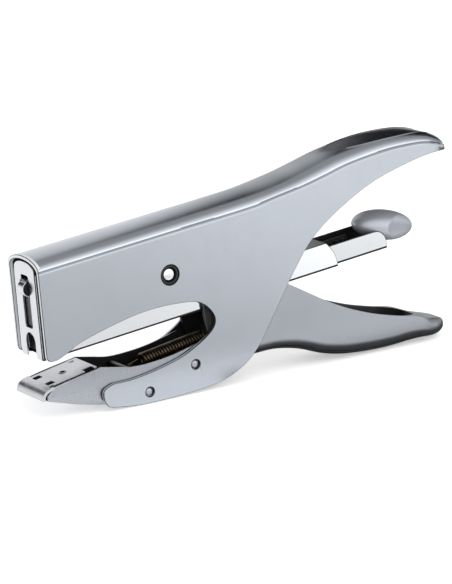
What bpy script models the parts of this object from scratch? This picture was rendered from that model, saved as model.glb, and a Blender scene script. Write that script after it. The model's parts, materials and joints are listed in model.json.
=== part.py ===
"""Plier stapler, built as an assembly of separate pieces.

Every piece is drawn in the spine frame, in millimetres: X runs rearward along
the straight spine, Z stands square to the spine, Y is the width, and the zero
point is the lower front corner of the head in the middle plane.  The whole
assembly then hangs on one empty that tips it on to the surface it stands on.
"""
import math

import bmesh
import bpy
from mathutils import Matrix

MM = 0.001                  # every size below is in millimetres

# ---- driving dimensions ---------------------------------------------------
SHELL_HALF = 11.0           # body shell, half of its outer width
SHELL_WALL = 1.3            # body shell sheet thickness
LEVER_HALF = 9.4            # lever and anvil arm, half widths inside the shell
LEVER_INNER = 8.2
GRIP_HALF = 10.0            # lower grip, behind the shell
MAGAZINE_HALF = 7.9         # magazine channel, outer and inner half widths
MAGAZINE_INNER = 7.2
RAIL_HALF = 7.05            # staple rail, outer and inner half widths
RAIL_INNER = 6.5
STAPLE_HALF = 6.4           # 24/6 staple, half of its crown
STAPLE_WIRE = 0.55
GAP = 0.3                   # running clearance between neighbours

STAND_TILT = math.radians(-6.1)     # spine frame against the table
PIVOT = (53.1, 16.2)                # main pivot of the lever, X and Z
MAGAZINE_HINGE = (96.0, 14.0)
CATCH_HINGE = (142.6, 0.9)
SPRING_ANCHOR = (34.5, -15.6)
SPRING_HOOK = (77.0, -13.3)
ARM_PINS = ((38.2, -23.2), (58.1, -18.8))
ARM_FIXING = (60.0, 20.6)           # pin that ties the drive arm to the lever

HEAD_LEAN = math.radians(3.6)       # head plates lean back by this angle
HEAD_FOOT = 0.2                     # X of the front plate's face at Z = 0
PLATE_THICK = 0.8
BLADE_THICK = 0.7
NOSE_HALF = 2.1                     # drive arm nose, half width
SLOT_HALF = 2.7                     # slot that the nose works in

RAIL_FLOOR = -0.7
RAIL_TOP = 6.9
CHANNEL_FLOOR = -1.3
CHANNEL_TOP = 8.7
CHANNEL_WALL = 0.7
RAIL_FRONT = 2.6
CORE_TOP = 5.4
ROD_HEIGHT = 3.4
STRIP_END = 29.0

PART_COLLECTION = "plier_stapler"

# ---- outlines in X and Z ---------------------------------------------------
SPINE_TOP = [(-4, 35.5), (60, 35.5), (93, 35.7), (108, 36.9), (119, 38.6), (130, 40.4),
             (146, 41.5), (157, 41.0), (167.5, 39.1), (174.5, 36.0), (178.6, 32.8), (180.4, 28.6)]
SPINE_EDGE = [(-4, 31.2), (60, 31.2), (90, 31.2), (100, 32.1), (111, 33.0), (122, 34.5),
              (132, 36.1), (148, 36.9), (159, 36.4), (168, 35.1), (174.5, 32.4),
              (178.6, 30.2), (180.4, 28.6)]
TIP_START = 169.0           # the upper handle's end is round in plan from here
TIP_END = 180.4

HEAD_EDGE = [(2.3, 36.5), (0.2, 0.9), (0.6, -0.4), (1.8, -1.1), (4.4, -1.2)]
THROAT = [(4.4, -1.2), (9, 0.3), (14, 2.3), (28, 4.8), (41.6, 6.0), (54, 5.2), (63.6, 2.8),
          (68.5, -3.6), (66.2, -8.7), (55.4, -13.7), (43.8, -15.9), (32.6, -16.6),
          (24.4, -16.0)]
JAW_END = [(24.4, -16.0), (20.6, -17.2), (19.7, -20.0), (21.3, -23.7), (25.4, -25.1)]
BELLY = [(25.4, -25.1), (35, -27.0), (50, -28.2), (65, -28.4), (75.8, -25.9), (84.4, -20.4),
         (94.3, -8.6), (104.7, 4.2), (113, 12.6), (124.6, 19.7), (141.6, 26.5),
         (158.3, 29.7), (171, 30.6), (181, 28.4)]

ARM_TOP = [(-1.0, -13.3), (0.6, -12.5), (2.4, -12.2), (20.9, -10.6)]
ARM_TOP_REAR = [(21.1, -9.2), (27.3, -11.0), (34.2, -12.9), (43, -13.5), (50.8, -13.3),
                (58, -12.4), (63.5, -11.5)]
ARM_BOTTOM = [(-1.0, -15.5), (2.4, -17.1), (8.8, -19.8), (14.6, -21.8), (22, -24.0),
              (32, -25.6), (45, -26.4), (63.5, -26.4)]
ARM_CORNER = 3.0
ARM_SHEET = 1.2

ANVIL_TOP = [(20.6, -9.0), (2.2, -10.7)]
ANVIL_NOSE = [(2.2, -10.7), (-0.2, -11.1), (-2.0, -12.0), (-3.0, -13.3), (-3.2, -14.8)]
ANVIL_NOSE_INNER = [(-2.1, -14.9), (-1.9, -13.7), (-1.1, -12.7), (0.3, -12.1), (2.4, -11.8)]
ANVIL_THICK = 1.1

EAR_RADIUS = 12.0
LEVER_FRONT = [(62.6, 8.6), (65.2, 3.0), (65.6, -8.0), (68.5, -18.5), (76, -23.2)]
LEVER_BELLY = [(76, -23.2), (84.5, -24.2), (94.1, -25.1), (104.1, -28.1), (114.1, -32.6),
               (124.3, -35.7), (140.3, -38.1), (156.7, -38.6), (165, -39.6)]
LEVER_TIP = [(165, -39.6), (169, -38.9), (170.8, -36.8), (169.4, -34.4), (165.4, -32.1),
             (160.3, -30.7)]
LEVER_TOP = [(160.3, -30.7), (147.1, -26.7), (134.3, -21.8), (120.2, -14.3), (101.2, -0.9),
             (80, 13.4), (63.0, 24.5)]
LEVER_FLOOR = [(78.5, -21.6), (84.5, -22.6), (94.1, -23.5), (104.1, -26.5), (114.1, -31.0),
               (124.3, -34.1), (140.3, -36.5), (156.7, -37.0), (161.5, -36.0), (163.5, -31)]
GRIP_PLAN = [(40, 9.4), (106, 9.4), (116, 10.0), (157, 10.0)]
GRIP_END = 171.2            # the lower grip is round in plan up to here
GRIP_CORNER = 3.6

DRIVE_TOP = [(0.6, 26.6), (8, 27.7), (30, 28.2), (46, 25.8), (56, 25.6)]
DRIVE_BOTTOM = [(45.5, 10.6), (34, 11.8), (20, 15.0), (9, 19.4), (0.6, 21.1)]


# ---- geometry helpers ------------------------------------------------------
def smooth(points, steps=4):
    """Points on a Catmull-Rom curve through the given points, ends included."""
    line = []
    last = len(points) - 1
    for i in range(last):
        before = points[max(i - 1, 0)]
        start, end = points[i], points[i + 1]
        after = points[min(i + 2, last)]
        for step in range(steps):
            t = step / steps
            line.append(tuple(
                0.5 * (2 * b + (c - a) * t + (2 * a - 5 * b + 4 * c - d) * t ** 2
                       + (3 * b - a - 3 * c + d) * t ** 3)
                for a, b, c, d in zip(before, start, end, after)))
    line.append(points[-1])
    return line


def height(points, x):
    """Smooth height at x of a line given by points with rising x."""
    last = len(points) - 1
    i = max(k for k in range(last) if k == 0 or points[k][0] <= x)
    (x0, z0), (x1, z1) = points[i], points[i + 1]

    def slope(k):
        low, high = points[max(k - 1, 0)], points[min(k + 1, last)]
        return (high[1] - low[1]) / (high[0] - low[0])

    span = x1 - x0
    t = min(max((x - x0) / span, 0.0), 1.0)
    a, b = slope(i) * span, slope(i + 1) * span
    return (z0 * (2 * t ** 3 - 3 * t ** 2 + 1) + a * (t ** 3 - 2 * t ** 2 + t)
            + z1 * (3 * t ** 2 - 2 * t ** 3) + b * (t ** 3 - t ** 2))


def arc(centre, radius, start, end, steps):
    """Points on an arc, angles in degrees from +X towards +Z."""
    return [(centre[0] + radius * math.cos(math.radians(start + (end - start) * i / steps)),
             centre[1] + radius * math.sin(math.radians(start + (end - start) * i / steps)))
            for i in range(steps + 1)]


def rectangle(x0, x1, z0, z1):
    return [(x0, z0), (x1, z0), (x1, z1), (x0, z1)]


def collection(name):
    made = bpy.data.collections.new(name)
    bpy.context.scene.collection.children.link(made)
    return made


def material(name, colour, roughness, metallic):
    made = bpy.data.materials.new(name)
    made.use_nodes = True
    shader = made.node_tree.nodes["Principled BSDF"]
    shader.inputs["Base Color"].default_value = (*colour, 1.0)
    shader.inputs["Roughness"].default_value = roughness
    shader.inputs["Metallic"].default_value = metallic
    return made


def axis_empty(name, x, z, parent=None):
    """An empty on a joint's axis; its children are drawn in the spine frame."""
    empty = bpy.data.objects.new(name, None)
    empty.location = (x * MM, 0.0, z * MM)
    empty.parent = parent
    parts.objects.link(empty)
    return empty


def place(mesh, name, group, finish=None):
    """An object for a mesh in spine-frame metres, hung on its group's empty."""
    obj = bpy.data.objects.new(name, mesh)
    obj.parent = group
    if group is not spine_frame:
        obj.location = -group.location
    if finish is None:
        obj.hide_render = True
        obj.display_type = "WIRE"
        cutters.objects.link(obj)
    else:
        mesh.materials.append(finish)
        parts.objects.link(obj)
    return obj


def tidy(mesh, flat_faces=True):
    """Weld, face outward, and make each flat side one face."""
    work = bmesh.new()
    work.from_mesh(mesh)
    bmesh.ops.remove_doubles(work, verts=work.verts, dist=1e-6)
    if flat_faces:
        bmesh.ops.dissolve_limit(work, angle_limit=0.001, verts=work.verts, edges=work.edges)
    bmesh.ops.recalc_face_normals(work, faces=work.faces)
    work.to_mesh(mesh)
    work.free()


def shade(obj, angle=35):
    obj.data.shade_smooth()
    obj.data.set_sharp_from_angle(angle=math.radians(angle))
    return obj


def slab_mesh(outline, thickness):
    """A flat outline as a solid, outline in local X and Y, centred on Z = 0."""
    curve = bpy.data.curves.new("outline", "CURVE")
    curve.dimensions = "2D"
    curve.fill_mode = "BOTH"
    curve.extrude = thickness / 2 * MM
    spline = curve.splines.new("POLY")
    spline.points.add(len(outline) - 1)
    for point, (x, y) in zip(spline.points, outline):
        point.co = (x * MM, y * MM, 0.0, 1.0)
    spline.use_cyclic_u = True
    holder = bpy.data.objects.new("outline", curve)
    bpy.context.scene.collection.objects.link(holder)
    depsgraph = bpy.context.evaluated_depsgraph_get()
    mesh = bpy.data.meshes.new_from_object(holder.evaluated_get(depsgraph))
    bpy.data.objects.remove(holder)
    tidy(mesh)
    return mesh


def side_slab(name, outline, y0, y1, group, finish=None):
    """An outline in X and Z, solid from y0 to y1."""
    mesh = slab_mesh(outline, y1 - y0)
    turn = Matrix.Rotation(math.pi / 2, 4, "X")
    mesh.transform(Matrix.Translation((0, (y0 + y1) / 2 * MM, 0)) @ turn)
    return place(mesh, name, group, finish)


def plan_slab(name, outline, z0, z1, group, finish=None):
    """An outline in X and Y, solid from z0 to z1."""
    mesh = slab_mesh(outline, z1 - z0)
    mesh.transform(Matrix.Translation((0, 0, (z0 + z1) / 2 * MM)))
    return place(mesh, name, group, finish)


def cross_slab(name, outline, x0, x1, group, finish=None):
    """An outline in Y and Z, solid from x0 to x1."""
    mesh = slab_mesh(outline, x1 - x0)
    turn = Matrix.Rotation(math.pi / 2, 4, "Z") @ Matrix.Rotation(math.pi / 2, 4, "X")
    mesh.transform(Matrix.Translation(((x0 + x1) / 2 * MM, 0, 0)) @ turn)
    return place(mesh, name, group, finish)


def head_slab(name, outline, depth, thickness, group, finish=None):
    """An outline in Y and Z on the leaning head, depth behind the front face."""
    obj = cross_slab(name, outline, depth, depth + thickness, group, finish)
    lean = Matrix.Rotation(HEAD_LEAN, 4, "Y")
    obj.data.transform(Matrix.Translation((HEAD_FOOT * MM, 0, 0)) @ lean)
    return obj


def box(name, x, y, z, group, finish=None):
    """A box between two limits on each axis."""
    return side_slab(name, rectangle(*x, *z), *y, group, finish)


def turned(name, profile, position, axis, group, finish=None, sides=24):
    """A turned piece: (radius, height) pairs from its top end down to its bottom."""
    mesh = bpy.data.meshes.new(name)
    verts = [(radius * MM, 0.0, level * MM) for radius, level in profile]
    mesh.from_pydata(verts, [(i, i + 1) for i in range(len(verts) - 1)], [])
    maker = bpy.data.objects.new("turning", mesh)
    bpy.context.scene.collection.objects.link(maker)
    screw = maker.modifiers.new("turn", "SCREW")
    screw.steps = screw.render_steps = sides
    screw.use_merge_vertices = True
    screw.merge_threshold = 1e-6
    depsgraph = bpy.context.evaluated_depsgraph_get()
    solid = bpy.data.meshes.new_from_object(maker.evaluated_get(depsgraph))
    bpy.data.objects.remove(maker)
    tidy(solid, flat_faces=False)
    turn = {"Y": Matrix.Rotation(-math.pi / 2, 4, "X"), "X": Matrix.Rotation(math.pi / 2, 4, "Y"),
            "Z": Matrix.Identity(4)}[axis]
    solid.transform(Matrix.Translation([value * MM for value in position]) @ turn)
    obj = place(solid, name, group, finish)
    return shade(obj) if finish else obj


def pin(name, x, z, diameter, y0, y1, group, finish=None, sides=24):
    """A plain round pin along Y."""
    half = (y1 - y0) / 2
    profile = [(0, half), (diameter / 2, half), (diameter / 2, -half), (0, -half)]
    return turned(name, profile, (x, (y0 + y1) / 2, z), "Y", group, finish, sides)


def headed_pin(name, x, z, shaft, head, inner, outer, group, finish):
    """A pin along Y with a round head on each end."""
    profile = [(0, outer), (head / 2 - 0.3, outer), (head / 2, outer - 0.3), (head / 2, inner),
               (shaft / 2, inner), (shaft / 2, -inner), (head / 2, -inner),
               (head / 2, 0.3 - outer), (head / 2 - 0.3, -outer), (0, -outer)]
    return turned(name, profile, (x, 0, z), "Y", group, finish)


def ring(name, x, z, bore, diameter, y0, y1, group, finish):
    """A round tube along Y."""
    half = (y1 - y0) / 2
    profile = [(bore / 2, half), (diameter / 2, half), (diameter / 2, -half),
               (bore / 2, -half), (bore / 2, half)]
    return turned(name, profile, (x, (y0 + y1) / 2, z), "Y", group, finish)


def boolean(obj, cutter, operation="DIFFERENCE"):
    modifier = obj.modifiers.new(operation.lower(), "BOOLEAN")
    modifier.operation = operation
    modifier.solver = "EXACT"
    modifier.object = cutter
    return obj


def drill(obj, x, z, diameter, reach=20.0, sides=24):
    """A round hole along Y, right through."""
    hole = pin(f"{obj.name}_hole", x, z, diameter, -reach, reach, obj.parent, sides=sides)
    return boolean(obj, hole)


def coil(name, start, end, radius, wire, turns, group, finish, tail=0.0):
    """A coil spring between two points given as X and Z, with straight tails."""
    length = math.dist(start, end) - 2 * tail
    angle = math.atan2(end[1] - start[1], end[0] - start[0])
    per_turn = 9
    curve = bpy.data.curves.new(name, "CURVE")
    curve.dimensions = "3D"
    curve.bevel_depth = wire / 2 * MM
    curve.bevel_resolution = 2
    curve.use_fill_caps = True
    spline = curve.splines.new("POLY")
    count = turns * per_turn + 1
    route = [(0.0, 0.0, 0.0)] if tail else []
    for i in range(count):
        phase = 2 * math.pi * i / per_turn
        along = tail + length * i / (count - 1)
        route.append((along, radius * math.cos(phase), radius * math.sin(phase)))
    if tail:
        route.append((length + 2 * tail, 0.0, 0.0))
    spline.points.add(len(route) - 1)
    for point, (along, across, up) in zip(spline.points, route):
        x = start[0] + along * math.cos(angle) - up * math.sin(angle)
        z = start[1] + along * math.sin(angle) + up * math.cos(angle)
        point.co = (x * MM, across * MM, z * MM, 1.0)
    obj = bpy.data.objects.new(name, curve)
    curve.materials.append(finish)
    obj.parent = group
    if group is not spine_frame:
        obj.location = -group.location
    parts.objects.link(obj)
    return obj


def grid_mesh(name, rows, closed=False):
    """A surface through rows of points; closed rows make a capped solid."""
    width = len(rows[0])
    verts = [tuple(value * MM for value in point) for row in rows for point in row]
    columns = [(c, (c + 1) % width) for c in range(width if closed else width - 1)]
    faces = [(r * width + a, r * width + b, (r + 1) * width + b, (r + 1) * width + a)
             for r in range(len(rows) - 1) for a, b in columns]
    mesh = bpy.data.meshes.new(name)
    mesh.from_pydata(verts, [], faces)
    work = bmesh.new()
    work.from_mesh(mesh)
    bmesh.ops.remove_doubles(work, verts=work.verts, dist=1e-6)
    if closed:
        bmesh.ops.holes_fill(work, edges=[edge for edge in work.edges if edge.is_boundary])
    bmesh.ops.recalc_face_normals(work, faces=work.faces)
    work.to_mesh(mesh)
    work.free()
    return mesh


def sheet(obj, thickness):
    """Give an open surface its sheet thickness, behind its face normals."""
    solidify = obj.modifiers.new("sheet", "SOLIDIFY")
    solidify.thickness = thickness * MM
    solidify.offset = -1.0
    solidify.use_even_offset = True
    return obj


# ---- frame group -----------------------------------------------------------
def spine_loft(name, inset, finish=None):
    """The pressing's outer form, or its hollow when inset by the sheet."""
    low, arch_steps, tip_steps = -45.0 - inset, 14, 7
    tip_end = TIP_END - inset
    stations = [-4.0 - inset, 30.0, 60.0, 80.0, 90.0] + [96.0 + 7.3 * i for i in range(10)]
    stations += [TIP_START + (tip_end - TIP_START) * math.sin(math.pi / 2 * i / tip_steps)
                 for i in range(tip_steps + 1)]
    rows = []
    for x in stations:
        past = max(x - TIP_START, 0.0) / (tip_end - TIP_START)
        half = (SHELL_HALF - inset) * math.sqrt(max(1.0 - past ** 2, 0.0))
        edge, crown = height(SPINE_EDGE, x) - inset / 2, height(SPINE_TOP, x) - inset
        arch = [(x, half * math.cos(math.pi * i / arch_steps),
                 edge + (crown - edge) * math.sin(math.pi * i / arch_steps))
                for i in range(arch_steps + 1)]
        rows.append([(x, half, low)] + arch + [(x, -half, low)])
    return place(grid_mesh(name, rows, closed=True), name, spine_frame, finish)


def body_shell():
    """Inverted-U pressing: side walls, arched spine, upper handle, jaw sides."""
    shell = spine_loft("body_shell", 0.0, shell_steel)
    boolean(shell, spine_loft("shell_hollow", SHELL_WALL))
    outline = (HEAD_EDGE[:1] + smooth(HEAD_EDGE[1:])[:-1] + smooth(THROAT)[:-1]
               + smooth(JAW_END)[:-1] + smooth(BELLY) + [(185, 60), (3.7, 60)])
    boolean(shell, side_slab("shell_outline", outline, -14, 14, spine_frame), "INTERSECT")
    drill(shell, *PIVOT, 8.0)
    for x, z in ARM_PINS:
        drill(shell, x, z, 4.9)
    return shade(shell, 30)


def anvil_arm():
    """U-channel between the jaw sides that carries the anvil."""
    stations = [-1.0, 0.6, 2.4, 9.0, 15.0, 20.9, 21.1, 24, 27.3, 32, 38, 44, 51, 58, 63.5]
    rows = []
    for x in stations:
        top = height(ARM_TOP if x < 21 else ARM_TOP_REAR, x)
        bottom = height(ARM_BOTTOM, x)
        corner = min(ARM_CORNER, 0.4 * (top - bottom))
        inset = LEVER_HALF - corner
        left = arc((-inset, bottom + corner), corner, 180, 270, 4)
        right = arc((inset, bottom + corner), corner, 270, 360, 4)
        section = [(-LEVER_HALF, top)] + left + right + [(LEVER_HALF, top)]
        rows.append([(x, y, z) for y, z in section])
    arm = sheet(place(grid_mesh("anvil_arm", rows), "anvil_arm", spine_frame, arm_steel),
                ARM_SHEET)
    for x, z in ARM_PINS:
        drill(arm, x, z, 3.6)
    drill(arm, *SPRING_ANCHOR, 3.2)
    return shade(arm, 30)


def anvil_plate():
    """Clinching plate that wraps the arm's nose."""
    inner_end = (ANVIL_TOP[0][0], ANVIL_TOP[0][1] - ANVIL_THICK)
    outline = (ANVIL_TOP[:1] + smooth(ANVIL_NOSE, 3) + smooth(ANVIL_NOSE_INNER, 3) + [inner_end])
    plate = side_slab("anvil_plate", outline, -9.5, 9.5, spine_frame, bright_chrome)
    slope = math.atan2(ANVIL_TOP[0][1] - ANVIL_TOP[1][1], ANVIL_TOP[0][0] - ANVIL_TOP[1][0])
    for side in (-1, 1):
        pocket = bmesh.new()
        bmesh.ops.create_uvsphere(pocket, u_segments=16, v_segments=8, radius=MM)
        mesh = bpy.data.meshes.new("clinch_pocket")
        pocket.to_mesh(mesh)
        pocket.free()
        mesh.transform(Matrix.Translation((3.9 * MM, side * 4.6 * MM, -10.5 * MM))
                       @ Matrix.Rotation(-slope, 4, "Y") @ Matrix.Diagonal((1.3, 3.0, 0.55, 1)))
        boolean(plate, place(mesh, "clinch_pocket", spine_frame))
        boolean(plate, box("corner_window", (16.4, 19.2), sorted((side * 5.2, side * 7.8)),
                           (-14, -6), spine_frame))
    centre = turned("plate_hole", [(0, 4), (1.4, 4), (1.4, -4), (0, -4)], (10.8, 0, -10), "Z",
                    spine_frame)
    boolean(plate, centre)
    return plate


def anvil_rivet():
    profile = [(0, 0.75), (0.9, 0.7), (1.1, 0.4), (1.1, -1.9), (0, -1.9)]
    return turned("anvil_rivet", profile, (10.8, 0, -10.4), "Z", spine_frame, bright_chrome, 16)


def frame_pins():
    for name, (x, z) in zip(("arm_rivet_front", "arm_rivet_rear"), ARM_PINS):
        headed_pin(name, x, z, 3.0, 4.3, 9.75, 10.8, spine_frame, bright_chrome)
    pin("pivot_pin", *PIVOT, 5.0, -10.5, 10.5, spine_frame, bright_chrome)
    for name, side in (("pivot_bush_left", 1), ("pivot_bush_right", -1)):
        ends = sorted((side * 9.8, side * 10.9))
        ring(name, *PIVOT, 5.6, 7.4, *ends, spine_frame, black_plastic)
    pin("spring_anchor_pin", *SPRING_ANCHOR, 2.6, -LEVER_HALF, LEVER_HALF, spine_frame,
        dark_steel, 16)


def magazine_hanger():
    """Welded bracket under the spine with two ears for the magazine's hinge."""
    x, z = MAGAZINE_HINGE
    ear = [(x - 8, 33.2), (x - 8, 31.0), (x - 4.2, 24)] + arc((x, z), 4.2, 180, 360, 10)
    ear += [(x + 4.2, 24), (x + 8, 31.0), (x + 8, 33.2)]
    hanger = side_slab("magazine_hanger", ear, -5.2, 5.2, spine_frame, dark_steel)
    boolean(hanger, box("hanger_hollow", (x - 20, x + 20), (-4.2, 4.2), (0, 32.2), spine_frame))
    drill(hanger, x, z, 3.6)
    headed_pin("magazine_hinge_pin", x, z, 3.0, 4.6, 5.4, 6.3, spine_frame, dark_steel)


# ---- lever group -----------------------------------------------------------
def lower_handle():
    """U-channel lever: ears on the main pivot, lower grip with a closed end."""
    ear = arc(PIVOT, EAR_RADIUS, 45, 312, 22)
    outline = (ear + smooth(LEVER_FRONT)[:-1] + smooth(LEVER_BELLY, 3)[:-1]
               + smooth(LEVER_TIP)[:-1] + smooth(LEVER_TOP, 3))
    handle = side_slab("lower_handle", outline, -GRIP_HALF, GRIP_HALF, lever_axis, grip_steel)
    round_belly(handle.data)
    bevel = handle.modifiers.new("belly", "BEVEL")
    bevel.limit_method = "WEIGHT"
    bevel.width = GRIP_CORNER * MM
    bevel.segments = 4
    end_x, end_half = GRIP_PLAN[-1]
    half_plan = smooth(GRIP_PLAN, 3)[:-1]
    tip = [(end_x + (GRIP_END - end_x) * math.sin(math.pi / 2 * i / 7),
            end_half * math.cos(math.pi / 2 * i / 7)) for i in range(8)]
    right = [(x, -y) for x, y in half_plan + tip[:-1]]
    plan = right + [tip[-1]] + [(x, -y) for x, y in reversed(right)]
    boolean(handle, plan_slab("grip_plan", plan, -60, 45, lever_axis), "INTERSECT")
    floor = smooth(LEVER_FLOOR, 3)
    hollow = [(30, 60), (30, -60), (78.5, -60)] + floor + [(163.5, 60)]
    boolean(handle, side_slab("lever_hollow", hollow, -LEVER_INNER, LEVER_INNER, lever_axis))
    for x, z, diameter in ((*PIVOT, 5.6), (*ARM_FIXING, 3.6), (*SPRING_HOOK, 3.2)):
        drill(handle, x, z, diameter)
    return shade(handle, 30)


def round_belly(mesh):
    """Mark the lengthwise edges under the grip for the Bevel modifier."""
    weights = mesh.attributes.new("bevel_weight_edge", "FLOAT", "EDGE")
    for edge in mesh.edges:
        a, b = (mesh.vertices[i].co / MM for i in edge.vertices)
        lengthwise = abs(a.y - b.y) < 0.01
        below = all(point.x > 75.9 and point.z < height(LEVER_BELLY, min(point.x, 165)) + 0.4
                    for point in (a, b))
        weights.data[edge.index].value = 1.0 if lengthwise and below else 0.0


def drive_arm():
    """Steel rocker from the pivot to the nose that pushes the driver down."""
    boss = arc(PIVOT, 6.6, -55, -125, 6)
    fixing = arc(ARM_FIXING, 4.2, 80, -60, 6)
    nose = arc((1.5, 23.8), 2.8, 250, 110, 6)
    outline = smooth(DRIVE_TOP) + fixing + boss + smooth(DRIVE_BOTTOM, 3)[:-1] + nose
    arm = side_slab("drive_arm", outline, -NOSE_HALF, NOSE_HALF, lever_axis, dark_steel)
    drill(arm, *PIVOT, 5.6)
    drill(arm, *ARM_FIXING, 3.6)
    pin("drive_arm_rivet", *ARM_FIXING, 3.0, -LEVER_HALF, LEVER_HALF, lever_axis, dark_steel, 16)
    pin("spring_hook_pin", *SPRING_HOOK, 2.6, -LEVER_HALF, LEVER_HALF, lever_axis, dark_steel, 16)
    for name, side in (("pivot_spacer_left", 1), ("pivot_spacer_right", -1)):
        ends = sorted((side * (NOSE_HALF + GAP), side * (LEVER_INNER - GAP)))
        ring(name, *PIVOT, 5.6, 8.0, *ends, lever_axis, dark_steel)


# ---- magazine group --------------------------------------------------------
def lean_x(z, depth):
    """X of a point on the leaning head, depth behind the front face."""
    return HEAD_FOOT + depth * math.cos(HEAD_LEAN) + z * math.tan(HEAD_LEAN)


def magazine_channel():
    """Bright channel over the staple rail, with two tall cheeks at the head."""
    top, wall_depth = 29.8, 1.1
    front = [(lean_x(top, wall_depth), top), (lean_x(CHANNEL_FLOOR, wall_depth), CHANNEL_FLOOR)]
    rear = smooth([(124.7, CHANNEL_FLOOR), (124.3, 2.2), (123.0, 5.6), (120.7, CHANNEL_TOP)])
    cheek = [(12.0, CHANNEL_TOP), (10.4, 9.4), (9.8, 11.0), (9.8, top)]
    channel = side_slab("magazine_channel", front + rear + cheek, -MAGAZINE_HALF, MAGAZINE_HALF,
                        magazine_axis, bright_chrome)
    inner = (-MAGAZINE_INNER, MAGAZINE_INNER)
    boolean(channel, box("rail_space", (-9, 140), inner,
                         (CHANNEL_FLOOR + 0.4, CHANNEL_TOP - CHANNEL_WALL), magazine_axis))
    boolean(channel, box("floor_slot", (-9, 140), (-6.2, 6.2), (-9, 0), magazine_axis))
    boolean(channel, box("head_space", (-9, 12.4), inner, (CHANNEL_TOP - 0.25, 50),
                         magazine_axis))
    boolean(channel, box("driver_space", (-10, lean_x(CHANNEL_TOP, 2.2)),
                         (0.1 - MAGAZINE_INNER, MAGAZINE_INNER - 0.1), (-10, 51), magazine_axis))
    return channel


def front_plate():
    """Bright head plate with the nose slot and the arched notch at its foot."""
    half = 7.2
    crown = [(half * math.cos(math.pi * i / 10), 30.6 + 2.9 * math.sin(math.pi * i / 10))
             for i in range(11)]
    notch = [(-3.4, -1.1)] + arc((0, 4.4), 3.4, 180, 0, 10) + [(3.4, -1.1)]
    outline = [(-half, -1.1)] + notch + [(half, -1.1)] + crown
    plate = head_slab("front_plate", outline, 0, PLATE_THICK, magazine_axis, bright_chrome)
    slot = rectangle(-SLOT_HALF, SLOT_HALF, 9.8, 26.0)[:2] + arc((0, 25.9), SLOT_HALF, 0, 180, 8)
    boolean(plate, head_slab("plate_slot", slot, -2, 5, magazine_axis))
    return plate


def driver_guide_plate():
    """Plate behind the driver, above the channel, with the same slot."""
    outline = rectangle(-7.0, 7.0, CHANNEL_TOP + GAP, 29.4)
    plate = head_slab("driver_guide_plate", outline, 2.1, PLATE_THICK, magazine_axis, dark_steel)
    slot = rectangle(-SLOT_HALF, SLOT_HALF, 10.4, 28.2)
    return boolean(plate, head_slab("guide_slot", slot, 0, 6, magazine_axis))


def magazine_lug():
    """Saddle on the channel's roof with two ears for the hinge pin."""
    x, z = MAGAZINE_HINGE
    base = CHANNEL_TOP + GAP
    outline = [(x - 8, base), (x + 8, base), (x + 8, base + 1)]
    outline += arc((x, z), 3.6, 0, 180, 10) + [(x - 8, base + 1)]
    lug = side_slab("magazine_lug", outline, -3.6, 3.6, magazine_axis, dark_steel)
    boolean(lug, box("lug_hollow", (x - 20, x + 20), (-2.6, 2.6), (base + 1, 30), magazine_axis))
    return drill(lug, x, z, 3.6)


def driver_blade():
    """Flat blade that pushes one staple out; the arm's nose sits in its window."""
    outline = rectangle(-6.35, 6.35, 6.5, 30.2)
    blade = head_slab("driver_blade", outline, 1.1, BLADE_THICK, driver_axis, dark_steel)
    window = rectangle(-SLOT_HALF, SLOT_HALF, 20.0, 28.9)
    return boolean(blade, head_slab("blade_window", window, 0, 3, driver_axis))


# ---- drawer group ----------------------------------------------------------
def rail_outline(grow):
    """Side outline of the rail: straight, with a rounded upper rear corner."""
    rear = [(147.4 + grow, RAIL_FLOOR - grow), (147.5 + grow, 1.4)]
    corner = smooth([(147.5 + grow, 1.4), (146.6 + grow, 4.5), (144.4 + grow / 2, 6.5 + grow),
                     (141.5, RAIL_TOP + grow)])
    return [(RAIL_FRONT, RAIL_FLOOR - grow)] + rear[:1] + corner + [(RAIL_FRONT, RAIL_TOP + grow)]


def staple_rail():
    """Open-topped rail that the staples ride in."""
    rail = side_slab("staple_rail", rail_outline(0.0), -RAIL_HALF, RAIL_HALF, drawer_axis,
                     bright_chrome)
    boolean(rail, box("rail_hollow", (0, 160), (-RAIL_INNER, RAIL_INNER),
                      (RAIL_FLOOR + 0.6, 20), drawer_axis))
    boolean(rail, box("catch_window", (139.6, 144.6), (-3.0, 3.0), (-5, 2), drawer_axis))
    return drill(rail, *CATCH_HINGE, 1.8, sides=12)


def rail_core():
    """Black strip in the rail that the staples straddle, grooved for the rod."""
    core = box("rail_core", (3.0, 137.2), (-5.4, 5.4), (0.2, CORE_TOP), drawer_axis,
               black_plastic)
    return boolean(core, box("core_groove", (6.0, 160), (-3.4, 3.4), (0.9, 20), drawer_axis))


def guide_rod():
    ends = [(0, 69.6), (0.8, 69.6), (0.8, -69.6), (0, -69.6)]
    return turned("guide_rod", ends, (6.3 + 69.6, 0, ROD_HEIGHT), "X", drawer_axis, dark_steel, 12)


def knob():
    """Grey pebble on the rail's end, sloping down to the rear."""
    work = bmesh.new()
    bmesh.ops.create_uvsphere(work, u_segments=36, v_segments=18, radius=MM)
    mesh = bpy.data.meshes.new("knob")
    work.to_mesh(mesh)
    work.free()
    mesh.transform(Matrix.Translation((151.0 * MM, 0, 6.1 * MM))
                   @ Matrix.Rotation(math.radians(17), 4, "Y")
                   @ Matrix.Diagonal((12.9, 8.4, 5.6, 1)))
    pebble = place(mesh, "knob", drawer_axis, grey_plastic)
    for side in (-1, 1):
        wall = sorted((side * (RAIL_INNER - GAP), side * 14))
        boolean(pebble, side_slab("rail_clearance", rail_outline(GAP), *wall, drawer_axis))
    boolean(pebble, box("catch_clearance", (120, 147.8), (-14, 14), (-20, 2.4), drawer_axis))
    bore = turned("rod_hole", [(0, 9), (1.1, 9), (1.1, -9), (0, -9)], (138, 0, ROD_HEIGHT), "X",
                  drawer_axis, sides=12)
    boolean(pebble, bore)
    return shade(pebble, 40)


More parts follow.
